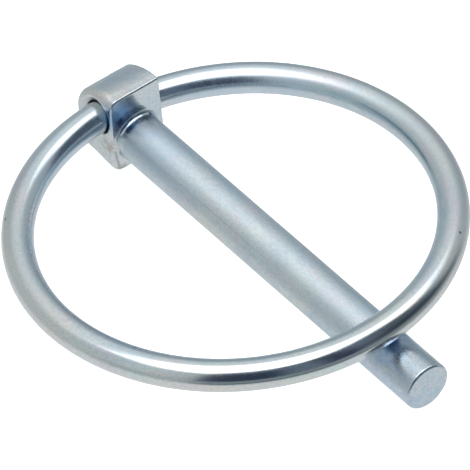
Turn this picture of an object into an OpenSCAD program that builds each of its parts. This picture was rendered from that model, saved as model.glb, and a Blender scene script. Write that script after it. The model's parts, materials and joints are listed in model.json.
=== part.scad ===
// Linch pin with a snap ring: a forged pin with a block head, and a sprung wire ring whose two
// ends sit in the cross hole of the head. The ring closes on the shank near its tip.
//
// +X runs along the shank towards its tip, +Z is the side that the ring closes on. The origin
// is on the shank's axis, in the bearing face of the head. Sizes are in millimetres.

/* [Shank] */
// Diameter of the shank
shank_d = 6; // [4.5:0.1:9]
// Length of the shank past the wire of the closed ring, to the tip
tip_past = 4.85; // [2:0.05:20]
// Chamfer round the tip
tip_chamfer = 0.35; // [0.1:0.05:1]
// Fillet where the shank grows out of the head
neck_r = 0.5; // [0.2:0.1:0.6]

/* [Head] */
// How far the -Y side of the head stands out past the shank
high_side = 0.6; // [0.6:0.05:3]
// How far the +Y side of the head stands out past the shank
low_side = 0.85; // [0.6:0.05:3]
// How far the bottom of the head stands out below the shank
head_sole = 1.05; // [0.6:0.05:4]
// Length of the head, along the shank
head_l = 7; // [6.5:0.1:12]
// Radius of the head's crown, where its top rolls over into its back
crown_r = 6; // [2:0.1:6.2]
// Radius of the head's heel, where its back meets its bottom
heel_r = 1.5; // [0.5:0.1:3]
// Radius of the head's other edges
edge_r = 0.5; // [0.2:0.05:1]

/* [Cross hole] */
// Height of the middle of the cross hole above the top line of the shank
hole_rise = -0.7; // [-1:0.1:2]
// Slant of the cross hole, in degrees: its +Y mouth is the lower one
hole_slant = 11; // [4:0.5:14]
// Thickness of steel between the cross hole and the bearing face
hole_front = 0.5; // [0.3:0.05:2]
// Thickness of steel above the middle of the cross hole
hole_roof = 2.4; // [2:0.05:4]
// Least room between the bore of the cross hole and the wire that lies in it
hole_clear = 0.12; // [0.1:0.01:0.5]
// Countersink of the two mouths of the cross hole
mouth_chamfer = 0.5; // [0.2:0.05:0.7]

/* [Ring] */
// Diameter of the ring's wire
wire_d = 3.8; // [2.5:0.1:4.6]
// Radius of the ring, to the middle of its wire
ring_r = 25.2; // [20:0.1:40]
// Distance of the ring's centre from the shank's middle plane, towards -Y
ring_shift = 2.4; // [0:0.1:4]
// How much tighter than the ring its +Y end arc is, on the radius
low_tight = 0.1; // [0:0.1:1]
// How much tighter than the ring its -Y end arc is, on the radius
high_tight = 0.6; // [0:0.1:1]
// How far the two ends spring away from the axis of the cross hole: +Y down, -Y up
end_spread = 0.15; // [0:0.05:0.4]
// Length of wire inside each mouth of the cross hole
seat_l = 1; // [0.5:0.1:2]
// Gap between the closed ring and the shank that it rests on
rest_gap = 0.03; // [0.01:0.01:0.1]

/* [Hidden] */
steel = [0.70, 0.74, 0.77];
wire_steel = [0.78, 0.81, 0.84];
$fn = 96;
shank_r = shank_d / 2;
wire_r = wire_d / 2;
head_w = shank_d + high_side + low_side;
head_drop = shank_r + head_sole;
hole_up = shank_r + hole_rise;
// The y of the head's -Y side
head_y = -shank_r - high_side;

// Each end of the ring is an arc that starts a quarter turn from the head and runs back to it.
// side is 1 for the +Y end and -1 for the other. The mouth of the cross hole, the middle of the
// seat and the end of the wire each lie this far from the shank's middle plane.
function mouth_y(side) = shank_r + (side > 0 ? low_side : high_side);
function seat_y(side) = mouth_y(side) - seat_l / 2;
function end_y(side) = mouth_y(side) - seat_l;
// Radius of an end arc
function end_r(side) = ring_r - (side > 0 ? low_tight : high_tight);
// The way along y that an arc has run where it is y from the shank's middle plane
function run(side, y) = ring_r - side * ring_shift - y;
// How far round it is by then
function turn(side, y) = acos(1 - run(side, y) / end_r(side));
// How far an arc stands away from the ring's centre at that place, towards the head
function reach(side, y) = end_r(side) * sin(turn(side, y));
// The tip of an arc out of the ring's plane that brings its wire to the slanted cross hole
function tip(side) = asin((seat_y(side) * tan(hole_slant) + end_spread) / run(side, seat_y(side)));

// The ring's centre lies where its two ends are equally far from the cross hole's axis
reaches = [for (side = [-1, 1]) reach(side, mouth_y(side))];
ring_reach = (reaches[0] + reaches[1]) / 2;
off_axis = abs(reaches[0] - reaches[1]) / 2;
hole_r = wire_r + hole_clear + norm([off_axis, end_spread + tan(hole_slant) * seat_l / 2]);
hole_back = hole_r + hole_front;
head_top = hole_up + hole_r + hole_roof;
head_h = head_top + head_drop;
// Height of the closed wire's middle above the shank's axis, where the two cross
rest_up = shank_r + wire_r + rest_gap;
// Distance from the middle of the cross hole to that crossing, along the ring
cross_reach = ring_reach + sqrt(ring_r * ring_r - ring_shift * ring_shift);
// Pitch of the closed ring: it climbs from the cross hole on to the shank
pitch = asin((rest_up - hole_up) / cross_reach);
shank_l = cross_reach * cos(pitch) - hole_back + wire_r + tip_past;
// Longer than anything that is cut
over = 40;
// The ring's end arcs start this many degrees inside its half circle, and are this much thinner
// on the radius, so that the three run into each other
lap = 0.5;
slim = 0.01;

// A square bar along Z with its four long edges rounded, from corner [0, 0] to [w, h]
module rounded_bar(w, h, l, r) {
    translate([r, 0, 0]) cube([w - 2 * r, h, l]);
    translate([0, r, 0]) cube([w, h - 2 * r, l]);
    for (x = [r, w - r], y = [r, h - r])
        translate([x, y, 0]) cylinder(r = r, h = l);
}

// The side profile of the head along Y: square at the bearing face, with the crown and the heel
// rolled over at the back
module side_profile() {
    translate([-head_l, head_y + head_w, -head_drop]) rotate([90, 0, 0]) {
        translate([crown_r, 0, 0]) cube([head_l - crown_r, head_h, head_w]);
        translate([heel_r, 0, 0]) cube([head_l - heel_r, head_h - crown_r, head_w]);
        translate([0, heel_r, 0]) cube([head_l, head_h - crown_r - heel_r, head_w]);
        translate([crown_r, head_h - crown_r, 0]) cylinder(r = crown_r, h = head_w);
        translate([heel_r, heel_r, 0]) cylinder(r = heel_r, h = head_w);
    }
}

// The block head, with its upright and its long edges rounded
module head() {
    intersection() {
        side_profile();
        translate([-head_l, head_y, -head_drop])
            rounded_bar(head_l, head_w, head_h, edge_r);
        translate([-head_l, head_y, -head_drop]) rotate([90, 0, 90])
            rounded_bar(head_w, head_h, head_l, edge_r);
    }
}

// The round shank, rooted in the head, with its neck fillet and its chamfered tip
module shank() {
    root = hole_front / 2;
    rotate([0, 90, 0]) {
        translate([0, 0, -root]) cylinder(r = shank_r, h = root + shank_l - tip_chamfer);
        translate([0, 0, shank_l - tip_chamfer])
            cylinder(r1 = shank_r, r2 = shank_r - tip_chamfer, h = tip_chamfer);
    }
    // The fillet's ring: a square corner less a round
    rotate([0, 90, 0]) difference() {
        translate([0, 0, -root]) cylinder(r = shank_r + neck_r, h = root + neck_r);
        rotate_extrude() translate([shank_r + neck_r, neck_r]) circle(r = neck_r);
    }
}

// Places its children on the axis of the cross hole, along Z and pointing to +Y
module on_hole_axis() {
    translate([-hole_back, 0, hole_up]) rotate([-90 - hole_slant, 0, 0]) children();
}

// What is cut away for the wire: the slanted bore and its two countersunk mouths. A countersink
// goes on widening until it is clear of its slanted mouth all round
module cross_hole() {
    sink_l = mouth_chamfer + hole_r;
    on_hole_axis() {
        cylinder(r = hole_r, h = over, center = true);
        for (side = [-1, 1])
            rotate([90 - side * 90, 0, 0])
                translate([0, 0, mouth_y(side) / cos(hole_slant) - mouth_chamfer])
                    cylinder(r1 = hole_r, r2 = hole_r + sink_l, h = sink_l);
    }
}

// The forged pin: one piece of steel
module pin() {
    color(steel) difference() {
        union() {
            head();
            shank();
        }
        cross_hole();
    }
}

// An arc of round wire of radius thick, bent to radius r, from angle start to angle stop
module wire_arc(r, thick, start, stop) {
    rotate([0, 0, start]) rotate_extrude(angle = stop - start)
        translate([r, 0]) circle(r = thick);
}

// One end of the ring: an arc from the half circle back to the cross hole, tipped to meet it
module ring_end(side) {
    translate([0, side * ring_r, 0]) rotate([side > 0 ? 0 : 180, 0, side * 90])
        rotate([0, -tip(side), 0]) translate([-end_r(side), 0, 0])
            wire_arc(end_r(side), wire_r - slim, -lap, turn(side, end_y(side)));
}

// The split spring ring, closed on the shank: one length of round wire, half a circle away
// from the head and an arc back to the head on each side
module spring_ring() {
    color(wire_steel)
        translate([-hole_back, 0, hole_up]) rotate([0, -pitch, 0])
            translate([ring_reach, -ring_shift, 0]) {
                wire_arc(ring_r, wire_r, -90, 90);
                for (side = [-1, 1]) ring_end(side);
            }
}

pin();
spring_ring();
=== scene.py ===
"""A linch pin with its snap ring, zinc plated, lying on a pale studio floor.

The forged pin is wrapped round a rule that says how far any point lies from its steel. The ring is
swept along its own bending rule by Geometry Nodes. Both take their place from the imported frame.
Sizes are in millimetres until a mesh is made, and a mesh is in metres.
"""

import json
import logging
import math
from collections.abc import Callable
from dataclasses import dataclass
from enum import Enum
from itertools import product

import bpy
import numpy as np
from mathutils import Matrix, Vector


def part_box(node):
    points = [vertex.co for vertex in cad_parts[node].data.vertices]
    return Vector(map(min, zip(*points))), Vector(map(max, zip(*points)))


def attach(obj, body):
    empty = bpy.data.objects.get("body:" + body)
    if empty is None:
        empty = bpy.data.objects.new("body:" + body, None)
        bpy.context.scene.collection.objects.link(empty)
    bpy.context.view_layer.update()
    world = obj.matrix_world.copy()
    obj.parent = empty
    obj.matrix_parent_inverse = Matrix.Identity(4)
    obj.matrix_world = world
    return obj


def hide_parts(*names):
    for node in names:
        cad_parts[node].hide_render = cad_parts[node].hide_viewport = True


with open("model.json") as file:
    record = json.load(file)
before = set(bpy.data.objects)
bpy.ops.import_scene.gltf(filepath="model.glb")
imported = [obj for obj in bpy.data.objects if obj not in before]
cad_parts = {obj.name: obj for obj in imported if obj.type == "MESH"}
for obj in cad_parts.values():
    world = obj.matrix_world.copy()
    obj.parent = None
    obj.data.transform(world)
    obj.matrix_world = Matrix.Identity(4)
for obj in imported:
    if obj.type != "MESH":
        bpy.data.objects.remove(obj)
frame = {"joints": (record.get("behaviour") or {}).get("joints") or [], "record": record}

LOG = logging.getLogger("linch_pin")
MM = 0.001
HALF_TURN = 180.0
DEGREES = HALF_TURN / math.pi
EVEN = 0.5  # The middle value of an uneven pattern

Colour = tuple[float, float, float]
Place = tuple[float, float, float]
Grid = tuple[np.ndarray, np.ndarray, np.ndarray]
Rule = Callable[[Grid], np.ndarray]
Socket = bpy.types.NodeSocket


# --- Node trees ---


class Signal:
    """A number that a node tree works out, for which plain arithmetic may be written."""

    def __init__(self, graph: "Graph", socket: Socket) -> None:
        """Wraps the output socket that carries the number, and keeps its tree."""
        self.graph = graph
        self.socket = socket

    def __add__(self, other: "Signal | float") -> "Signal":
        """The sum."""
        return self.graph.maths("ADD", self, other)

    def __sub__(self, other: "Signal | float") -> "Signal":
        """The difference."""
        return self.graph.maths("SUBTRACT", self, other)

    def __mul__(self, other: "Signal | float") -> "Signal":
        """The product."""
        return self.graph.maths("MULTIPLY", self, other)

    def __truediv__(self, other: "Signal | float") -> "Signal":
        """The quotient."""
        return self.graph.maths("DIVIDE", self, other)

    def __rsub__(self, other: float) -> "Signal":
        """A plain number less this one."""
        return self.graph.maths("SUBTRACT", other, self)

    __rmul__ = __mul__

    def __abs__(self) -> "Signal":
        """Its size, whatever its sign."""
        return self.graph.maths("ABSOLUTE", self)

    def clamped(self) -> "Signal":
        """The same, kept from 0 to 1."""
        return self.graph.maths("ADD", self, 0.0, clamp=True)

    def faded(self, width: float) -> "Signal":
        """Rises from 0 to 1 as this number passes 0, over the given width."""
        return (self / width + 0.5).clamped()


class Graph:
    """A node tree being built, one named call a node."""

    def __init__(self, tree: bpy.types.NodeTree) -> None:
        """Starts on an emptied tree."""
        self.tree = tree
        self.tree.nodes.clear()

    def feed(self, socket: Socket, value: object) -> None:
        """Links a socket to a signal, or sets it to a plain value.

        Args:
            socket: The input to feed.
            value: A Signal, another node's output, or a plain value.
        """
        if isinstance(value, Signal):
            value = value.socket
        if isinstance(value, Socket):
            self.tree.links.new(value, socket)
        else:
            socket.default_value = value

    def node(self, kind: str, *inputs: object, **settings: object) -> bpy.types.Node:
        """Adds a node.

        Args:
            kind: The node's type name.
            *inputs: Values for its first inputs, in order; None leaves one as it is.
            **settings: The node's own settings.

        Returns:
            The new node.
        """
        made = self.tree.nodes.new(kind)
        for name, value in settings.items():
            setattr(made, name, value)
        for socket, value in zip(made.inputs, inputs):
            if value is not None:
                self.feed(socket, value)
        return made

    def fill(self, made: bpy.types.Node, inputs: dict[str, object]) -> None:
        """Feeds a node's inputs by their names."""
        for name, value in inputs.items():
            self.feed(made.inputs[name], value)

    def maths(self, operation: str, *numbers: "Signal | float", clamp: bool = False) -> Signal:
        """Adds a Math node, by Blender's name of its operation, and gives the result."""
        made = self.node("ShaderNodeMath", *numbers, operation=operation, use_clamp=clamp)
        return Signal(self, made.outputs[0])

    def vector(self, x: object, y: object, z: object) -> Socket:
        """Puts three numbers, signals or plain, together to a vector."""
        return self.node("ShaderNodeCombineXYZ", x, y, z).outputs[0]

    def parts(self, vector: Socket) -> list[Signal]:
        """Takes a vector apart into its three numbers."""
        apart = self.node("ShaderNodeSeparateXYZ", vector)
        return [Signal(self, part) for part in apart.outputs]

    def laid(self, under: Colour | Socket, over: Colour, share: Signal) -> Socket:
        """Lays one colour over another.

        Args:
            under: The colour below, a socket or plain.
            over: The colour laid on it.
            share: How thickly it lies, from 0 to 1.

        Returns:
            The mixed colour's socket.
        """
        mix = self.node("ShaderNodeMix", data_type="RGBA", clamp_factor=True)
        slots = {slot.identifier: slot for slot in mix.inputs}
        self.feed(slots["Factor_Float"], share)
        self.feed(slots["A_Color"], (*under, 1.0) if isinstance(under, tuple) else under)
        self.feed(slots["B_Color"], (*over, 1.0))
        return next(slot for slot in mix.outputs if slot.identifier == "Result_Color")


# --- Finishes ---


class Way(Enum):
    """What a finish's pattern follows: the piece's own place, or the wire as if straight."""

    PLACE = "place"
    WIRE = "wire"


@dataclass(frozen=True)
class Cloud:
    """An uneven pattern about 0.5, in patches.

    Args:
        size: How wide a patch is, in millimetres.
        stretch: How many times longer it is along the steel.
        detail: How many finer patterns lie in it.
    """

    size: float
    stretch: float
    detail: float

    def over(self, graph: Graph, place: Socket) -> Signal:
        """Spreads the pattern over the steel.

        Args:
            graph: The finish's tree.
            place: Place in millimetres.

        Returns:
            The pattern.
        """
        scaled = graph.node("ShaderNodeMapping", place)
        across = 1 / self.size
        graph.fill(scaled, {"Scale": (across / self.stretch, across, across)})
        made = graph.node("ShaderNodeTexNoise", scaled.outputs[0])
        graph.fill(made, {"Scale": 1.0, "Detail": self.detail})
        return Signal(graph, made.outputs["Fac"])


@dataclass(frozen=True)
class Onset:
    """How something sets in where a pattern passes a level.

    Args:
        level: The level.
        steep: How fast it sets in. Below 0, it sets in under the level.
        most: How much of it there is at most.
    """

    level: float
    steep: float
    most: float = 1.0

    def of(self, pattern: Signal) -> Signal:
        """How much of it there is for each value of the pattern."""
        return ((pattern - self.level) * self.steep).clamped() * self.most


@dataclass(frozen=True)
class StainAndShade:
    """A patch of another colour on the plating: brown soil, thick blue film or a dark speck, and
    on the pin also painted shade and painted shadows of cracks.

    Args:
        middle: Its middle, in millimetres.
        reach: How far it spreads.
        tint: Its colour.
        patchy: How much it breaks up, from 0 to 1.
        thick: How thickly it lies at most.
        breaks: How it sets in after a break.
        full: How soon it covers fully, towards its middle.
    """

    middle: Place
    reach: float
    tint: Colour
    patchy: float = 1.0
    thick: float = 1.0
    breaks: Onset = Onset(0.375, 4.0)
    full: float = 1.6

    def cover(self, graph: Graph, place: Socket, pattern: Signal) -> Signal:
        """How thickly the patch lies.

        Args:
            graph: The finish's tree.
            place: Place in millimetres.
            pattern: An uneven pattern about 0.5 that breaks it up.

        Returns:
            0 where there is none, 1 at its middle.
        """
        away = graph.node("ShaderNodeVectorMath", place, self.middle, operation="DISTANCE")
        near = (1.0 - Signal(graph, away.outputs["Value"]) / self.reach).clamped()
        broken = self.breaks.of(pattern) * self.patchy + (1.0 - self.patchy)
        return (near * self.full * broken).clamped() * self.thick


@dataclass(frozen=True)
class Rub:
    """A length of the steel that was rubbed smoother, or left rougher, than the rest.

    Args:
        middle: Where its middle lies along the steel, in millimetres.
        reach: Half its length.
        soft: How long its ends fade.
        smoother: How much less rough it is.
    """

    middle: float
    reach: float
    soft: float
    smoother: float

    def cover(self, graph: Graph, along: Signal) -> Signal:
        """What is taken off the roughness at each place along the steel."""
        away = abs(along - self.middle)
        return (self.reach - away).faded(self.soft) * self.smoother


@dataclass(frozen=True)
class ScoreAndReflection:
    """A fine line along the steel: a mark that the drawing die left, and on the ring also a
    painted dark reflection. Lengths are in millimetres.

    Args:
        turn: How far round the steel it lies, in degrees: on the pin from the top towards -Y, and
            on the ring from below towards the ring's middle.
        middle: Where its middle lies along the steel.
        reach: Half its length.
        width: Its width, in degrees.
        depth: How strongly it shows, from 0 to 1.
        tint: Its colour.
        runout: The share of its half length in which each end fades.
    """

    turn: float
    middle: float
    reach: float
    width: float
    depth: float
    tint: Colour = (0.40, 0.47, 0.52)
    runout: float = 0.4

    def cover(self, graph: Graph, place: Socket) -> Signal:
        """How strongly the line shows at each place.

        Args:
            graph: The finish's tree.
            place: Place in millimetres.

        Returns:
            0 beside the line and its depth in it.
        """
        x, y, z = graph.parts(place)
        turn = graph.maths("ARCTAN2", y * -1.0, z) * DEGREES
        aside = abs(turn - self.turn) / self.width
        away = abs(x - self.middle)
        ends = ((self.reach - away) / (self.reach * self.runout)).clamped()
        return (1.0 - aside).clamped() * ends * self.depth


@dataclass(frozen=True)
class ZincPlate:
    """Blue-white zinc plating on steel, for one of the two pieces. Lengths are in millimetres.

    Args:
        name: The material's name.
        way: What its pattern follows.
        silver: Its clean colour.
        blue: The colour where the passivation is thicker.
        straw: The colour where it is thinner.
        rose: A faint gleam in it.
        green: Another gleam.
        shade: The colour of its fine specks.
        roughness: How far it spreads a reflection.
        uneven: How much the roughness varies.
        drawn: Height of the marks that drawing left along it.
        grain: Height of the plating's fine grain.
        waves: Height of its long waves.
        speckled: How strongly its fine dark specks show.
        pitted: How dark its pits are, from 0 to 1.
        drained: How much thicker the film gets with each millimetre across the steel.
        rubs: Its smoother and rougher lengths.
        stains_and_shades: Its stains, and on the pin its painted shade and painted shadows.
        scores_and_reflections: Its die marks, and on the ring some painted dark reflections.
        clouds: Broad patches of its film.
        mottle: Its fine mottle.
        streaks: Its streaks.
        gleams: Where its gleams lie.
        specks: Where its specks lie.
        swell: Its long waves.
        grains: Its grain.
        lines: Its drawn marks.
        thick_film: How the blue sets in over the patches.
        mottled: How much the mottle changes the film.
        thin_film: How the straw sets in over streaks, less patches.
        drained_straw: How much thicker film keeps the straw back.
        rose_gleam: How the rose sets in.
        green_gleam: How the green does.
        fine_specks: How the specks do.
        pit_cells: How many places for a pit a millimetre has.
        pit_rare: The share of them without one.
        pit_r: Half a pit's width, as a share of its place's.
        pit_edge: How sharp its edge is.
        pit_tint: Its colour.
    """

    name: str
    way: Way
    silver: Colour = (0.70, 0.745, 0.765)
    blue: Colour = (0.53, 0.65, 0.74)
    straw: Colour = (0.76, 0.72, 0.66)
    rose: Colour = (0.75, 0.70, 0.74)
    green: Colour = (0.67, 0.76, 0.75)
    shade: Colour = (0.40, 0.47, 0.52)
    roughness: float = 0.24
    uneven: float = 0.1
    drawn: float = 0.002
    grain: float = 0.003
    waves: float = 0.02
    speckled: float = 0.3
    pitted: float = 0.8
    drained: float = 0.0
    rubs: tuple[Rub, ...] = ()
    stains_and_shades: tuple[StainAndShade, ...] = ()
    scores_and_reflections: tuple[ScoreAndReflection, ...] = ()
    clouds: Cloud = Cloud(5.0, 1.8, 3.0)
    mottle: Cloud = Cloud(0.55, 1.3, 5.0)
    streaks: Cloud = Cloud(0.5, 14.0, 3.0)
    gleams: Cloud = Cloud(1.5, 3.0, 2.0)
    specks: Cloud = Cloud(0.22, 1.6, 2.0)
    swell: Cloud = Cloud(7.0, 1.4, 1.0)
    grains: Cloud = Cloud(0.22, 1.0, 3.0)
    lines: Cloud = Cloud(0.16, 30.0, 2.0)
    thick_film: Onset = Onset(0.3654, 2.6, 0.7)
    mottled: float = 0.9
    thin_film: Onset = Onset(0.04, 4.0, 0.75)
    drained_straw: float = 0.375
    rose_gleam: Onset = Onset(0.53, 8.0, 0.6)
    green_gleam: Onset = Onset(0.47, -8.0, 0.7)
    fine_specks: Onset = Onset(0.44, 5.0)
    pit_cells: float = 0.3
    pit_rare: float = 0.7
    pit_r: float = 0.0727
    pit_edge: float = 30.8
    pit_tint: Colour = (0.08, 0.08, 0.09)

    def coordinates(self, graph: Graph) -> Socket:
        """Where a spot lies, in millimetres: X runs along the steel.

        Args:
            graph: The finish's tree.

        Returns:
            The place's socket.
        """
        if self.way is Way.PLACE:
            place = graph.node("ShaderNodeTexCoord").outputs["Object"]
        else:
            along = graph.node("ShaderNodeAttribute", attribute_name="along").outputs["Fac"]
            section = graph.node("ShaderNodeAttribute", attribute_name="section")
            outward, down, _ = graph.parts(section.outputs["Vector"])
            place = graph.vector(along, outward, down)
        scaled = graph.node("ShaderNodeVectorMath", place, operation="SCALE")
        graph.fill(scaled, {"Scale": 1 / MM})
        return scaled.outputs[0]

    def pits(self, graph: Graph, place: Socket) -> Signal:
        """Small dark pits, one here and there.

        Args:
            graph: The finish's tree.
            place: Place in millimetres.

        Returns:
            1 in a pit and 0 outside.
        """
        cells = graph.node("ShaderNodeTexVoronoi", place)
        graph.fill(cells, {"Scale": self.pit_cells})
        draw = graph.parts(cells.outputs["Color"])[0]
        rare = graph.maths("GREATER_THAN", draw, self.pit_rare)
        near = (self.pit_r - Signal(graph, cells.outputs["Distance"])) * self.pit_edge
        return near.clamped() * rare

    def relief(self, graph: Graph, place: Socket) -> Socket:
        """The plating's relief, as a normal.

        Args:
            graph: The finish's tree.
            place: Place in millimetres.

        Returns:
            The normal's socket.
        """
        height = self.swell.over(graph, place) * self.waves
        height = height + self.grains.over(graph, place) * self.grain
        height = height + self.lines.over(graph, place) * self.drawn
        bump = graph.node("ShaderNodeBump")
        graph.fill(bump, {"Distance": MM, "Height": height})
        return bump.outputs[0]

    def material(self) -> bpy.types.Material:
        """Makes the plating.

        Returns:
            The material.
        """
        made = bpy.data.materials.new(self.name)
        made.use_nodes = True
        graph = Graph(made.node_tree)
        place = self.coordinates(graph)
        along, across, _ = graph.parts(place)
        clouds, mottle, streaks, gleams, specks = [
            cloud.over(graph, place)
            for cloud in (self.clouds, self.mottle, self.streaks, self.gleams, self.specks)
        ]
        side = across * self.drained
        film = self.thick_film.of(clouds) + (mottle - EVEN) * self.mottled + side
        colour = graph.laid(self.silver, self.blue, film.clamped())
        thin = self.thin_film.of(streaks - clouds - side * self.drained_straw)
        colour = graph.laid(colour, self.straw, thin)
        colour = graph.laid(colour, self.rose, self.rose_gleam.of(gleams))
        colour = graph.laid(colour, self.green, self.green_gleam.of(gleams))
        colour = graph.laid(colour, self.shade, self.fine_specks.of(specks) * self.speckled)
        for line_mark in self.scores_and_reflections:
            colour = graph.laid(colour, line_mark.tint, line_mark.cover(graph, place))
        for tint_patch in self.stains_and_shades:
            colour = graph.laid(colour, tint_patch.tint, tint_patch.cover(graph, place, mottle))
        colour = graph.laid(colour, self.pit_tint, self.pits(graph, place) * self.pitted)
        rough = (clouds + mottle + streaks - 3 * EVEN) * self.uneven + self.roughness
        for rub in self.rubs:
            rough = rough - rub.cover(graph, along)
        shader = graph.node("ShaderNodeBsdfPrincipled")
        graph.fill(shader, {"Metallic": 1.0, "Base Color": colour, "Roughness": rough})
        graph.fill(shader, {"Normal": self.relief(graph, place)})
        graph.node("ShaderNodeOutputMaterial", shader.outputs[0])
        return made


# --- The forged pin ---


def stood(name: str, data: bpy.types.ID) -> bpy.types.Object:
    """Stands a new object in the scene.

    Args:
        name: Its name.
        data: Its mesh or camera.

    Returns:
        The object.
    """
    made = bpy.data.objects.new(name, data)
    bpy.context.scene.collection.objects.link(made)
    return made


def between(ends: tuple[float, float], share: np.ndarray) -> np.ndarray:
    """The value at a share, from 0 to 1, of the way between its values at two ends."""
    return ends[0] + (ends[1] - ends[0]) * share


def rounded_overlap(a: np.ndarray, b: np.ndarray, r: np.ndarray | float) -> np.ndarray:
    """The depth field of what two bodies share, with the edge between them rounded.

    Args:
        a: The first body's field, below 0 inside.
        b: The second body's field.
        r: Radius of the edge.

    Returns:
        The field of the shared part.
    """
    corner = np.hypot(np.maximum(a + r, 0), np.maximum(b + r, 0))
    return np.minimum(np.maximum(a, b), -r) + corner


def filleted_union(a: np.ndarray, b: np.ndarray, r: float) -> np.ndarray:
    """The depth field of two bodies joined, with a fillet where they meet.

    Args:
        a: The first body's field, below 0 inside.
        b: The second body's field.
        r: Radius of the fillet.

    Returns:
        The field of the joined body.
    """
    corner = np.hypot(np.maximum(r - a, 0), np.maximum(r - b, 0))
    return np.maximum(np.minimum(a, b), r) - corner


def wrap(rule: Rule, lines: Grid) -> tuple[np.ndarray, np.ndarray]:
    """Wraps the surface where a depth field is 0 in a closed mesh of four-sided faces.

    Args:
        rule: The field, for arrays of x, y and z places.
        lines: The grid's lines along x, y and z, evenly spaced or not.

    Returns:
        The vertices, and the faces as rows of four vertex numbers, facing outwards.
    """
    depth = rule(np.meshgrid(*lines, indexing="ij", sparse=True))
    inside = depth < 0
    cells = tuple(n - 1 for n in depth.shape)
    total, count = np.zeros((*cells, 3)), np.zeros(cells)
    grid = np.meshgrid(*lines, indexing="ij")
    # A cell's vertex is the middle of the spots where its edges cross the surface
    for axis in range(3):
        low = tuple(slice(0, -1) if k == axis else slice(None) for k in range(3))
        high = tuple(slice(1, None) if k == axis else slice(None) for k in range(3))
        crossed = inside[low] != inside[high]
        with np.errstate(divide="ignore", invalid="ignore"):
            part = np.where(crossed, depth[low] / (depth[low] - depth[high]), 0.0)
        spot = np.stack([g[low] + part * (g[high] - g[low]) for g in grid], -1)
        others = [k for k in range(3) if k != axis]
        for firsts in product((0, 1), repeat=2):
            window = [slice(None)] * 3
            for other, first in zip(others, firsts):
                window[other] = slice(first, first + cells[other])
            hit = crossed[tuple(window)]
            total += np.where(hit[..., None], spot[tuple(window)], 0.0)
            count += hit
    used = count > 0
    number = np.full(cells, -1)
    number[used] = np.arange(used.sum())
    vertices = total[used] / count[used][:, None]
    faces = []
    # Each crossed edge gets a face between the four cells round it
    for axis in range(3):
        u, v = [k for k in range(3) if k != axis]
        low = tuple(slice(0, -1) if k == axis else slice(1, -1) for k in range(3))
        high = tuple(slice(1, None) if k == axis else slice(1, -1) for k in range(3))
        spots = np.argwhere(inside[low] != inside[high])
        spots[:, [u, v]] += 1
        corners = []
        for back in ((1, 1), (0, 1), (0, 0), (1, 0)):
            cell = spots.copy()
            cell[:, [u, v]] -= back
            corners.append(number[tuple(cell.T)])
        quads = np.stack(corners, 1)
        leaves = inside[tuple(spots.T)]
        turned = leaves if axis == 1 else ~leaves
        quads[turned] = quads[turned][:, ::-1]
        faces.append(quads)
    return vertices, np.concatenate(faces)


def slope(rule: Rule, spots: np.ndarray, step: float = 0.002) -> np.ndarray:
    """How a depth field rises at some points.

    Args:
        rule: The field.
        spots: The points, one a row.
        step: How far apart the field is read.

    Returns:
        The field's slope along x, y and z, one row a point.
    """
    rows = []
    for axis in range(3):
        aside = np.zeros(3)
        aside[axis] = step
        rows.append(rule((spots + aside).T) - rule((spots - aside).T))
    return np.stack(rows, 1) / (2 * step)


def settle(rule: Rule, spots: np.ndarray, rounds: int = 6, least: float = 0.25) -> np.ndarray:
    """Moves points on to the surface where a depth field is 0.

    Args:
        rule: The field.
        spots: The points, one a row.
        rounds: How often each is moved.
        least: The least square of its slope that the field is taken to have.

    Returns:
        The moved points.
    """
    for _ in range(rounds):
        rise = slope(rule, spots)
        steep = np.maximum((rise**2).sum(1), least)
        spots = spots - rise * (rule(spots.T) / steep)[:, None]
    return spots


@dataclass(frozen=True)
class Lumps:
    """Soft lumps of a forged or sheared surface: waves that cross in random directions.

    Args:
        height: How far they stand out.
        length: How wide one is.
        seed: Seed of the random draws.
        waves: How many waves there are.
        spread: How much their lengths differ, as a share.
    """

    height: float
    length: float
    seed: int
    waves: int = 9
    spread: float = 0.4

    def at(self, places: Grid) -> np.ndarray:
        """How far the surface stands out.

        Args:
            places: Their x, y and z.

        Returns:
            The outward distance at each place.
        """
        x, y, z = places
        draw = np.random.default_rng(self.seed)
        total = np.zeros(np.broadcast(x, y, z).shape)
        for _ in range(self.waves):
            way = draw.normal(size=3)
            turns = draw.uniform(1 - self.spread, 1 + self.spread) / self.length
            way *= math.tau * turns / np.linalg.norm(way)
            total += np.sin(way[0] * x + way[1] * y + way[2] * z + draw.uniform(0, math.tau))
        return self.height * total / math.sqrt(self.waves)


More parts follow.
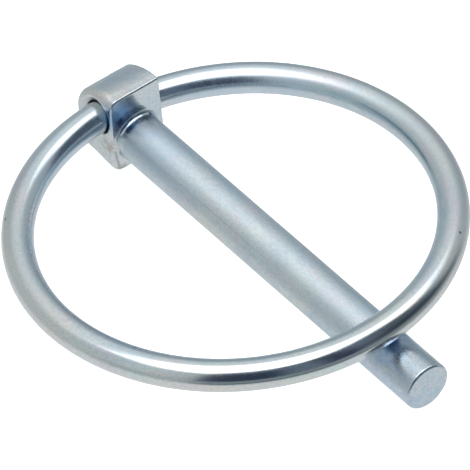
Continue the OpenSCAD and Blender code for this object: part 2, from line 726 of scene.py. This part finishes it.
@dataclass
class ForgedPin:
    """The pin: a block head and a round shank forged in one, with the slanted cross hole.

    Two values are for the -Y side and the +Y side, unless it says otherwise.

    Args:
        plate: The plating.
        shank_r: Radius of the shank.
        tip_x: Where the shank ends.
        head_box: The head's lowest and highest corner.
        hole_at: Middle of the cross hole.
        hole_slant: Slant of the cross hole, in degrees.
        crown_r: Radius of the crown's arc.
        crown_break: How steeply the crown starts to fall, in degrees.
        crown_start: How far behind the bearing face it starts.
        crown_end: The share of its radius past which it runs on straight.
        crown_edge_r: Radius of the crown's -Y edge.
        back_r: Radius of the back's edges.
        heel_r: Radius of the lower -Y edge, at the bearing face and at the back.
        sole_drop: How far the sole starts below the head's box.
        sole_rise: How steeply it rises towards the back, in degrees.
        side_draft: How far the +Y side leans outwards, in degrees.
        draft_depth: How far down it leans.
        top_width: Where the +Y side starts at the top.
        lip_r: Radius of the bearing face's edges.
        far_upright_r: Radius of the +Y side's edges.
        corner_at: Middle of the broken corner: x, and y from the -Y side.
        corner_reach: How far it spreads.
        corner_top: Its height.
        hole_r: Radius of the cross hole.
        hole_taper: Length over which it changes.
        countersink: How far in the countersink reaches.
        mouth_r: Radius of the mouths' edges.
        neck_r: Radius of the fillet at the shank's root.
        root: How far the shank goes on in the head.
        tip_chamfer: Chamfer of the tip.
        tip_r: Radius of the chamfer's edges.
        fine: Width of a mesh face at the head and the tip.
        coarse: Its length along the shank.
        neck_l: Length of the fine faces beside the head.
        tip_l: Their length at the tip.
        side_room: Room in which the +Y side leans.
        margin: Room round the pin, in mesh faces.
        hammered: Lumps of the forging.
        broken: Lumps of the broken corner.
        sheared: Lumps of the tip's end.
    """

    plate: ZincPlate
    shank_r: float
    tip_x: float
    head_box: tuple[Vector, Vector]
    hole_at: Vector
    hole_slant: float
    crown_r: tuple[float, float] = (6.6, 8.4)
    crown_break: float = 4.5
    crown_start: tuple[float, float] = (1.5, 0.8)
    crown_end: float = 0.98
    crown_edge_r: float = 1.15
    back_r: tuple[float, float] = (0.8, 1.0)
    heel_r: tuple[float, float] = (1.55, 1.5)
    sole_drop: float = 0.3
    sole_rise: float = 4.5
    side_draft: float = 3.4
    draft_depth: float = 7.0
    top_width: float = 3.6
    lip_r: float = 0.26
    far_upright_r: float = 0.22
    corner_at: tuple[float, float] = (-0.1, 0.2)
    corner_reach: float = 1.4
    corner_top: float = -0.4
    hole_r: tuple[float, float] = (2.14, 2.29)
    hole_taper: float = 3.0
    countersink: float = 0.2
    mouth_r: float = 0.2
    neck_r: float = 0.6
    root: float = 0.5
    tip_chamfer: float = 0.19
    tip_r: float = 0.06
    fine: float = 0.1
    coarse: float = 0.6
    neck_l: float = 1.5
    tip_l: float = 1.0
    side_room: float = 0.4
    margin: int = 3
    hammered: Lumps = Lumps(0.012, 2.6, 11)
    broken: Lumps = Lumps(0.03, 0.6, 5)
    sheared: Lumps = Lumps(0.02, 1.5, 3)

    def head(self, places: Grid) -> np.ndarray:
        """The depth field of the block head.

        Args:
            places: Their x, y and z.

        Returns:
            The field, below 0 inside.
        """
        x, y, z = places
        low, high = self.head_box
        across = np.clip((y - low.y) / (high.y - low.y), 0, 1)
        crown_r = between(self.crown_r, across)
        # The top is level near the bearing face, and then follows the crown's arc
        behind = np.maximum(-x - between(self.crown_start, across), 0)
        arc_x = np.minimum(behind, self.crown_end * crown_r)
        broken = math.tan(math.radians(self.crown_break))
        drop = crown_r - np.sqrt(crown_r**2 - arc_x**2) + broken * arc_x
        lean = arc_x / np.sqrt(crown_r**2 - arc_x**2) + broken
        top = (z - (high.z - drop) + lean * (behind - arc_x)) / np.sqrt(1 + lean**2)
        rise = math.tan(math.radians(self.sole_rise))
        sole = (low.z - self.sole_drop - z - rise * x) / math.hypot(1, rise)
        left = low.y - y
        draft = math.tan(math.radians(self.side_draft))
        down = np.clip(high.z - z, 0, self.draft_depth)
        right = (y - self.top_width - draft * down) / math.hypot(1, draft)
        # The -Y side runs into the sole and the crown in soft edges
        back = np.clip(-x / (high.x - low.x), 0, 1)
        block = rounded_overlap(left, sole, between(self.heel_r, back))
        block = rounded_overlap(block, top, self.crown_edge_r)
        block = rounded_overlap(block, x, self.lip_r)
        block = rounded_overlap(block, low.x - x, between(self.back_r, across))
        block = rounded_overlap(block, right, self.far_upright_r)
        corner_x, corner_y = self.corner_at
        corner = np.clip(self.corner_reach - np.hypot(x - corner_x, y - low.y - corner_y), 0, 1)
        corner = corner * np.clip(self.corner_top - z, 0, 1)
        return block - self.hammered.at(places) - corner * self.broken.at(places)

    def hole(self, places: Grid) -> np.ndarray:
        """The depth field of what is drilled and countersunk out of the head.

        Args:
            places: Their x, y and z.

        Returns:
            The field, below 0 inside the hole.
        """
        x, y, z = places
        slant = math.radians(self.hole_slant)
        up, aside = z - self.hole_at.z, x - self.hole_at.x
        along = y * math.cos(slant) - up * math.sin(slant)
        height = y * math.sin(slant) + up * math.cos(slant)
        depth = np.clip(y / self.hole_taper + 0.5, 0, 1)
        bore = np.hypot(aside, height) - between(self.hole_r, depth)
        low, high = self.head_box
        mouth = np.where(y > 0, high.y, -low.y) / math.cos(slant) - self.countersink
        cone = (bore - (np.abs(along) - mouth)) / math.sqrt(2)
        return np.minimum(bore, cone)

    def shank(self, places: Grid) -> np.ndarray:
        """The depth field of the round shank with its worn, chamfered tip.

        Args:
            places: Their x, y and z.

        Returns:
            The field, below 0 inside.
        """
        x, y, z = places
        out = np.hypot(y, z) - self.shank_r
        end = x - self.tip_x + np.abs(self.sheared.at((0 * x, y, z)))
        chamfer = (out + end + self.tip_chamfer) / math.sqrt(2)
        rod = rounded_overlap(np.maximum(out, end), chamfer, self.tip_r)
        return np.maximum(rod, -x - self.root)

    def steel(self, places: Grid) -> np.ndarray:
        """The depth field of the whole pin, below 0 inside, for the places' x, y and z."""
        forged = filleted_union(self.head(places), self.shank(places), self.neck_r)
        return rounded_overlap(forged, -self.hole(places), self.mouth_r)

    def grid(self) -> Grid:
        """The lines on which the pin is wrapped: close together at the head and the tip.

        Returns:
            The lines along x, y and z.
        """
        low, high = self.head_box
        fine, margin = self.fine, self.margin * self.fine
        neck, tip = self.neck_l, self.tip_x - self.tip_l
        x = np.concatenate([
            np.arange(low.x - margin, neck, fine),
            np.linspace(neck, tip, round((tip - neck) / self.coarse), endpoint=False),
            np.arange(tip, self.tip_x + margin, fine),
        ])
        y = np.arange(low.y - margin, high.y + margin + self.side_room, fine)
        z = np.arange(low.z - margin, high.z + margin, fine)
        return x, y, z

    def build(self) -> bpy.types.Object:
        """Wraps the pin and dresses it.

        Returns:
            The pin's object.
        """
        spots, faces = wrap(self.steel, self.grid())
        spots = settle(self.steel, spots)
        mesh = bpy.data.meshes.new("forged_pin")
        mesh.from_pydata((spots * MM).tolist(), [], faces.tolist())
        mesh.polygons.foreach_set("use_smooth", [True] * len(mesh.polygons))
        mesh.materials.append(self.plate.material())
        rise = slope(self.steel, spots)
        rise /= np.linalg.norm(rise, axis=1)[:, None]
        mesh.normals_split_custom_set_from_vertices(rise.tolist())
        return stood("forged_pin", mesh)


# --- The snap ring ---


@dataclass
class SnapRing:
    """The split ring: one length of round spring wire, half a circle and an arc back on each side.

    Args:
        plate: The plating.
        box: The ring's lowest and highest corner.
        hole_at: Middle of the cross hole.
        hole_slant: Slant of the cross hole, in degrees.
        mouths: How far the two mouths of the hole lie from the shank's middle plane, -Y first.
        shank_r: Radius of the shank that the closed wire lies on.
        wire_r: Radius of the wire.
        rest_gap: How far clear of the shank it lies.
        tighter: How much tighter than the ring the two end arcs are, -Y first.
        seat_l: How far each end reaches into the hole.
        stations: How many sections the wire is swept through.
        sides: How many sides a section has.
    """

    plate: ZincPlate
    box: tuple[Vector, Vector]
    hole_at: Vector
    hole_slant: float
    mouths: tuple[float, float]
    shank_r: float
    wire_r: float = 1.9
    rest_gap: float = 0.03
    tighter: tuple[float, float] = (0.73, -0.07)
    seat_l: float = 1.0
    stations: int = 420
    sides: int = 56

    def __post_init__(self) -> None:
        """Works out the ring's radius, its shift, and the turn and tip of its two end arcs."""
        low, high = self.box
        self.ring_r = (high.y - low.y) / 2 - self.wire_r
        self.shift = -(high.y + low.y) / 2
        self.end_r = [self.ring_r - t for t in self.tighter]
        self.turn, self.tip, reach = [], [], []
        for side, mouth, end_r in zip((-1, 1), self.mouths, self.end_r):
            run = self.ring_r - side * self.shift - mouth
            reach.append(end_r * math.sin(math.acos(1 - run / end_r)))
            run_end = run + self.seat_l
            self.turn.append(math.acos(1 - run_end / end_r))
            seat = mouth - self.seat_l / 2
            rise = seat * math.tan(math.radians(self.hole_slant))
            self.tip.append(math.asin(rise / (run + self.seat_l / 2)))
        self.reach = sum(reach) / 2
        cross = self.reach + math.sqrt(self.ring_r**2 - self.shift**2)
        rest_up = self.shank_r + self.wire_r + self.rest_gap
        self.pitch = math.asin((rest_up - self.hole_at.z) / cross)

    def inputs(self) -> dict[str, float]:
        """Gives the tree's sizes, in metres and radians.

        Returns:
            Each size by its name.
        """
        sizes = {"Ring radius": self.ring_r * MM, "Wire radius": self.wire_r * MM}
        for k, end in enumerate(("High end", "Low end")):
            sizes[f"{end} radius"] = self.end_r[k] * MM
            sizes[f"{end} turn"], sizes[f"{end} tip"] = self.turn[k], self.tip[k]
        return sizes

    def kept(self, graph: Graph, shape: Socket, name: str, kind: str, value: Socket) -> Socket:
        """Keeps a value on a shape's points, for the finish to read.

        Args:
            graph: The tree.
            shape: The shape's socket.
            name: The attribute's name.
            kind: Blender's name of its data type.
            value: The value's socket.

        Returns:
            The marked shape's socket.
        """
        store = graph.node("GeometryNodeStoreNamedAttribute", shape, data_type=kind)
        graph.fill(store, {"Name": name, "Value": value})
        return store.outputs[0]

    def tree(self, finish: bpy.types.Material) -> bpy.types.NodeTree:
        """Builds the tree that bends the wire: its place at each station follows from how far
        round the ring it is, and a round section is swept along it.

        Args:
            finish: The material that the tree sets.

        Returns:
            The node tree.
        """
        tree = bpy.data.node_groups.new("bend_ring_wire", "GeometryNodeTree")
        face = tree.interface
        for name in self.inputs():
            face.new_socket(name, in_out="INPUT", socket_type="NodeSocketFloat")
        face.new_socket("Geometry", in_out="OUTPUT", socket_type="NodeSocketGeometry")
        graph = Graph(tree)
        given = graph.node("NodeGroupInput")
        ring_r, wire_r, *ends = [Signal(graph, given.outputs[name]) for name in self.inputs()]
        high_r, high_turn, high_tip, low_r, low_turn, low_tip = ends

        index = Signal(graph, graph.node("GeometryNodeInputIndex").outputs[0])
        sweep = high_turn + low_turn + math.pi
        angle = index / (self.stations - 1) * sweep - high_turn - math.pi / 2
        side = graph.maths("SIGN", angle)
        high = graph.maths("LESS_THAN", angle, 0.0)
        # How far round its end arc a station is, or 0 on the half circle
        bend = graph.maths("MAXIMUM", abs(angle) - math.pi / 2, 0.0)
        end_r = low_r + high * (high_r - low_r)
        tip = low_tip + high * (high_tip - low_tip)
        inwards = end_r * (1.0 - graph.maths("COSINE", bend))
        on_end = graph.maths("GREATER_THAN", bend, 0.0)
        half_x = ring_r * graph.maths("COSINE", angle)
        half_y = ring_r * graph.maths("SINE", angle)
        end_x = end_r * graph.maths("SINE", bend) * -1.0
        end_y = side * (ring_r - inwards * graph.maths("COSINE", tip))
        end_z = side * inwards * graph.maths("SINE", tip) * -1.0
        x = half_x + on_end * (end_x - half_x)
        y = half_y + on_end * (end_y - half_y)
        z = on_end * end_z

        line = graph.node("GeometryNodeMeshLine", count_mode="TOTAL")
        graph.fill(line, {"Count": self.stations})
        wire = graph.node("GeometryNodeMeshToCurve", line.outputs[0])
        placed = graph.node("GeometryNodeSetPosition", wire.outputs[0])
        graph.fill(placed, {"Position": graph.vector(x, y, z)})
        along = graph.node("GeometryNodeSplineParameter").outputs["Length"]
        marked = self.kept(graph, placed.outputs[0], "along", "FLOAT", along)
        section = graph.node("GeometryNodeCurvePrimitiveCircle")
        graph.fill(section, {"Resolution": self.sides, "Radius": wire_r})
        spot = graph.node("GeometryNodeInputPosition").outputs[0]
        round_wire = self.kept(graph, section.outputs[0], "section", "FLOAT_VECTOR", spot)
        swept = graph.node("GeometryNodeCurveToMesh", marked, round_wire)
        graph.fill(swept, {"Fill Caps": True})
        smooth = graph.node("GeometryNodeSetShadeSmooth", swept.outputs[0])
        real = graph.node("GeometryNodeRealizeInstances", smooth.outputs[0])
        dressed = graph.node("GeometryNodeSetMaterial", real.outputs[0])
        graph.fill(dressed, {"Material": finish})
        graph.node("NodeGroupOutput", dressed.outputs[0])
        return tree

    def build(self) -> bpy.types.Object:
        """Sweeps the wire, and lays the ring on the shank.

        Returns:
            The ring's object.
        """
        finish = self.plate.material()
        blank = stood("ring_blank", bpy.data.meshes.new("ring_blank"))
        bend = blank.modifiers.new("bend", "NODES")
        bend.node_group = self.tree(finish)
        for item in bend.node_group.interface.items_tree:
            if item.in_out == "INPUT":
                bend[item.identifier] = self.inputs()[item.name]
        view = bpy.context.evaluated_depsgraph_get()
        mesh = bpy.data.meshes.new_from_object(blank.evaluated_get(view))
        bpy.data.objects.remove(blank)
        mesh.name = "snap_ring"
        seat = Matrix.Translation(self.hole_at * MM) @ Matrix.Rotation(-self.pitch, 4, "Y")
        mesh.transform(seat @ Matrix.Translation(Vector((self.reach, -self.shift, 0)) * MM))
        return stood("snap_ring", mesh)


# --- The studio ---


@dataclass
class Camera:
    """The camera: a long lens that looks down on the object from its tip's side.

    Args:
        aim: A point on the line of sight, in millimetres.
        azimuth: Where it stands, in degrees: 0 is towards -Y and 90 towards +X.
        elevation: How high it stands, in degrees.
        roll: How far it is turned about the line of sight, in degrees.
        distance: How far from the aim it stands, in millimetres.
        lens: Its focal length, in millimetres.
    """

    aim: Place = (23.278, -3.676, 3.6)
    azimuth: float = 53.172
    elevation: float = 45.421
    roll: float = -2.5008
    distance: float = 753.52
    lens: float = 502.774

    def build(self) -> bpy.types.Object:
        """Places the camera and makes it the scene's.

        Returns:
            The camera's object.
        """
        camera = stood("camera", bpy.data.cameras.new("camera"))
        camera.data.lens = self.lens
        turn, tilt = math.radians(self.azimuth), math.radians(90 - self.elevation)
        stand = Matrix.Translation(Vector(self.aim) * MM) @ Matrix.Rotation(turn, 4, "Z")
        stand = stand @ Matrix.Rotation(tilt, 4, "X")
        stand = stand @ Matrix.Translation((0, 0, self.distance * MM))
        camera.matrix_world = stand @ Matrix.Rotation(math.radians(self.roll), 4, "Z")
        bpy.context.scene.camera = camera
        return camera


@dataclass(frozen=True)
class Panel:
    """A soft-edged panel of the room, as the object sees it from its middle. Angles in degrees.

    Args:
        azimuth: Where its middle stands: 0 is towards -Y and 90 towards +X.
        half_width: Half its width.
        low: Elevation of its lower edge.
        high: Elevation of its upper edge.
        soft: How wide its edges fade.
        light: How bright it is.
    """

    azimuth: float
    half_width: float
    low: float
    high: float
    soft: float
    light: Colour

    def cover(self, graph: Graph, heading: Signal, elevation: Signal) -> Signal:
        """How far the panel covers each direction.

        Args:
            graph: The room's tree.
            heading: The direction's azimuth, in degrees.
            elevation: The direction's elevation, in degrees.

        Returns:
            1 on the panel and 0 off it.
        """
        turned = graph.maths("WRAP", heading - self.azimuth, HALF_TURN, -HALF_TURN)
        aside = abs(turned)
        cover = (self.half_width - aside).faded(self.soft)
        cover = cover * (elevation - self.low).faded(self.soft)
        cover = cover * (self.high - elevation).faded(self.soft)
        # Curved at both ends, so that no crease shows in the metal
        return cover * cover * (3.0 - 2.0 * cover)


@dataclass
class Studio:
    """A pale floor in a soft light tent that is open, and so dark, on the camera's side.

    Args:
        floor_z: Height of the floor, clear of the ring wherever it swings, in millimetres.
        floor_half: Half the floor's width, in millimetres.
        floor_white: How white its paper is.
        floor_rough: How matt it is.
        floor_glow: How bright it is by itself.
        wall: Light of the tent where no panel hangs.
        panels: The tent's panels; a later one hangs in front of those before it.
    """

    floor_z: float = -7.3
    floor_half: float = 3000.0
    floor_white: float = 0.9
    floor_rough: float = 0.9
    floor_glow: float = 0.7
    wall: Colour = (0.44, 0.49, 0.51)
    panels: tuple[Panel, ...] = (
        # The walls and the ground
        Panel(-5, 30, 5, 60, 30, (0.58, 0.64, 0.66)),
        Panel(-92, 62, 34, 75, 30, (0.80, 0.83, 0.84)),
        Panel(-45, 36, -16, 34, 18, (0.54, 0.58, 0.57)),
        Panel(-145, 30, -22, 20, 16, (0.34, 0.40, 0.43)),
        Panel(0, 180, -95, -22, 26, (0.76, 0.79, 0.80)),
        # The dark opening on the camera's side
        Panel(93, 62, -24, 6, 16, (0.245, 0.29, 0.31)),
        Panel(93, 61, 0, 63, 8, (0.145, 0.18, 0.24)),
        Panel(53, 17, 3, 50, 14, (0.036, 0.05, 0.08)),
        Panel(97, 8, 2, 60, 8, (0.045, 0.06, 0.09)),
        Panel(138, 17, 3, 56, 10, (0.08, 0.105, 0.135)),
        # The lamps overhead
        Panel(-105, 66, 66, 100, 12, (2.4, 2.4, 2.4)),
        Panel(-8, 44, 58, 100, 16, (2.4, 2.4, 2.4)),
        Panel(93, 70, 64, 95, 9, (2.6, 2.6, 2.6)),
        Panel(178, 26, 44, 70, 14, (2.0, 2.0, 2.0)),
    )

    def floor(self) -> bpy.types.Object:
        """Lays the floor. The metal mirrors the tent and not the floor.

        Returns:
            The floor's object.
        """
        half, z = self.floor_half * MM, self.floor_z * MM
        corners = [(-half, -half, z), (half, -half, z), (half, half, z), (-half, half, z)]
        mesh = bpy.data.meshes.new("floor")
        mesh.from_pydata(corners, [], [(0, 1, 2, 3)])
        made = bpy.data.materials.new("floor_paper")
        made.use_nodes = True
        graph = Graph(made.node_tree)
        shader = graph.node("ShaderNodeBsdfPrincipled")
        paper, glow = (*(self.floor_white,) * 3, 1.0), (1.0, 1.0, 1.0, 1.0)
        graph.fill(shader, {"Base Color": paper, "Roughness": self.floor_rough})
        graph.fill(shader, {"Specular IOR Level": 0.0, "Emission Color": glow})
        graph.fill(shader, {"Emission Strength": self.floor_glow})
        graph.node("ShaderNodeOutputMaterial", shader.outputs[0])
        mesh.materials.append(made)
        floor = stood("floor", mesh)
        floor.visible_glossy = False
        return floor

    def room(self) -> None:
        """Hangs the tent's panels round the object, as the light of the world."""
        world = bpy.data.worlds.new("light_tent")
        world.use_nodes = True
        graph = Graph(world.node_tree)
        way = graph.node("ShaderNodeTexCoord").outputs["Generated"]
        x, y, z = graph.parts(way)
        heading = graph.maths("ARCTAN2", x, y * -1.0) * DEGREES
        elevation = graph.maths("ARCSINE", z) * DEGREES
        light: Colour | Socket = self.wall
        for panel in self.panels:
            light = graph.laid(light, panel.light, panel.cover(graph, heading, elevation))
        shown = graph.node("ShaderNodeBackground", light, 1.0)
        graph.node("ShaderNodeOutputWorld", shown.outputs[0])
        bpy.context.scene.world = world

    def build(self) -> bpy.types.Object:
        """Sets up the studio.

        Returns:
            The floor's object.
        """
        self.room()
        bpy.context.scene.view_settings.view_transform = "Standard"
        return self.floor()


# --- This linch pin ---


def in_millimetres(corners: tuple[Vector, Vector]) -> tuple[Vector, Vector]:
    """A box's two corners, in millimetres."""
    return corners[0] / MM, corners[1] / MM


def pin_plate() -> ZincPlate:
    """The pin's plating: dull and mottled, blue beside the ring's mouth and towards the tip, with
    painted shade where the ring lies on it and painted shadows of cracks at the broken corner.

    Returns:
        The plating.
    """
    pale_blue, bloom_and_contact_shade, teal = (0.52, 0.65, 0.78), (0.38, 0.54, 0.75), (0.26, 0.44, 0.68)
    dull, soil, rust = (0.55, 0.64, 0.73), (0.50, 0.46, 0.43), (0.34, 0.31, 0.29)
    crack_shadow, crack_shadow_r, steps = (0.34, 0.35, 0.36), 0.3, 9
    top, step = Vector((0.0, -3.2, -1.0)), Vector((0.0, 0.05, -0.3))
    # A painted shadow of fine cracks runs down the broken corner, laid in short steps
    crack_shadow_line = [StainAndShade(tuple(top + k * step), crack_shadow_r, crack_shadow, 0.4, 0.7) for k in range(steps)]
    return ZincPlate(
        "pin_zinc", Way.PLACE, roughness=0.42, uneven=0.24, grain=0.012, speckled=0.36,
        drained=0.06,
        rubs=(Rub(-0.1, 0.4, 0.3, 0.1), Rub(0.5, 0.7, 0.5, 0.22), Rub(53.0, 4.4, 1.5, 0.15)),
        stains_and_shades=(
            StainAndShade((6.0, -0.8, 3.0), 8.0, pale_blue, 0.7, 0.6),
            StainAndShade((41.0, 0.0, 3.0), 10.0, pale_blue, 0.7, 0.45),
            StainAndShade((0.1, -2.3, 4.5), 2.8, teal, 0.2),
            StainAndShade((50.0, -2.2, -0.2), 7.5, bloom_and_contact_shade, 0.6, 0.5),
            # Painted shade: a deeper, darker blue round the place where the ring lies on the shank
            StainAndShade((47.6, -0.4, 3.0), 3.2, bloom_and_contact_shade, 0.6),
            StainAndShade((-4.2, 0.3, 6.6), 3.6, dull, 0.8),
            StainAndShade((-0.6, -3.6, -0.3), 1.9, soil),
            StainAndShade((-0.1, -2.5, -4.5), 1.4, rust, 0.3, 0.9),
            *crack_shadow_line,
        ),
        scores_and_reflections=(ScoreAndReflection(52.0, 16.0, 13.0, 2.2, 0.6), ScoreAndReflection(-4.0, 36.0, 9.0, 1.6, 0.25)),
    )


def ring_plate() -> ZincPlate:
    """The ring's plating: bright and smooth, scored by the drawing die, with dark reflections
    painted along it.

    Returns:
        The plating.
    """
    violet, dark = (0.64, 0.73, 0.83), (0.16, 0.16, 0.16)
    deep_blue, painted_dark_reflection = (0.21, 0.35, 0.43), (0.22, 0.25, 0.27)
    return ZincPlate(
        "ring_zinc", Way.WIRE, silver=(0.71, 0.74, 0.75), roughness=0.2, uneven=0.12,
        drained=-0.2, speckled=0.22, pitted=0.3, grain=0.0015, drawn=0.001,
        rubs=(
            Rub(112.0, 27.0, 22.0, -0.13),
            Rub(62.0, 20.0, 12.0, 0.05),
            Rub(30.0, 13.0, 12.0, -0.08),
        ),
        stains_and_shades=(
            StainAndShade((141.0, -0.9, 0.3), 12.0, violet, 0.6, 0.6),
            StainAndShade((8.0, -0.5, 0.5), 10.0, violet, 0.6, 0.5),
            StainAndShade((21.4, 1.34, -1.34), 0.24, dark, 0.0),
            StainAndShade((96.3, 1.15, -1.51), 0.24, dark, 0.0),
        ),
        scores_and_reflections=(
            ScoreAndReflection(118.0, 116.0, 9.0, 7.0, 0.85, deep_blue),
            ScoreAndReflection(115.0, 113.0, 26.0, 22.0, 0.35, deep_blue),
            # Painted dark reflections: black lines where the wire mirrors the tent's dark opening
            ScoreAndReflection(-124.0, 85.0, 11.0, 13.0, 0.85, painted_dark_reflection),
            ScoreAndReflection(-104.0, 68.0, 12.0, 4.0, 0.6, painted_dark_reflection),
            ScoreAndReflection(128.0, 24.0, 14.0, 4.0, 0.25),
        ),
    )


def main() -> None:
    """Builds the studio and the linch pin's two pieces, and reports each."""
    logging.basicConfig(level=logging.INFO, format="%(name)s: %(message)s")
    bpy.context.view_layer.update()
    pin_box = in_millimetres(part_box("pin"))
    ring_box = in_millimetres(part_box("spring_ring"))
    # The head ends in its bearing face, at 0
    head_box = (pin_box[0], Vector((0.0, pin_box[1].y, pin_box[1].z)))
    mounts = {mount["name"]: mount for mount in frame["record"]["mounts"]}
    shank_r = mounts["shank"]["dims"]["r_mm"]
    joint = frame["joints"][0]
    hole_at = Vector(joint["pos_m"]) / MM
    slant = math.degrees(math.atan2(joint["axis"][2], -joint["axis"][1]))
    mouths = (-pin_box[0].y, pin_box[1].y)

    Camera().build()
    pin = ForgedPin(pin_plate(), shank_r, pin_box[1].x, head_box, hole_at, slant).build()
    ring = SnapRing(ring_plate(), ring_box, hole_at, slant, mouths, shank_r).build()
    floor = Studio().build()
    for piece, body, node, slot in (
        (pin, "pin", "pin", "pin"),
        (ring, "ring", "spring_ring", "ring"),
    ):
        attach(piece, body)
        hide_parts(node)
        LOG.info("%s: %d faces", piece.name, len(piece.data.polygons))


if __name__ == "__main__":
    main()
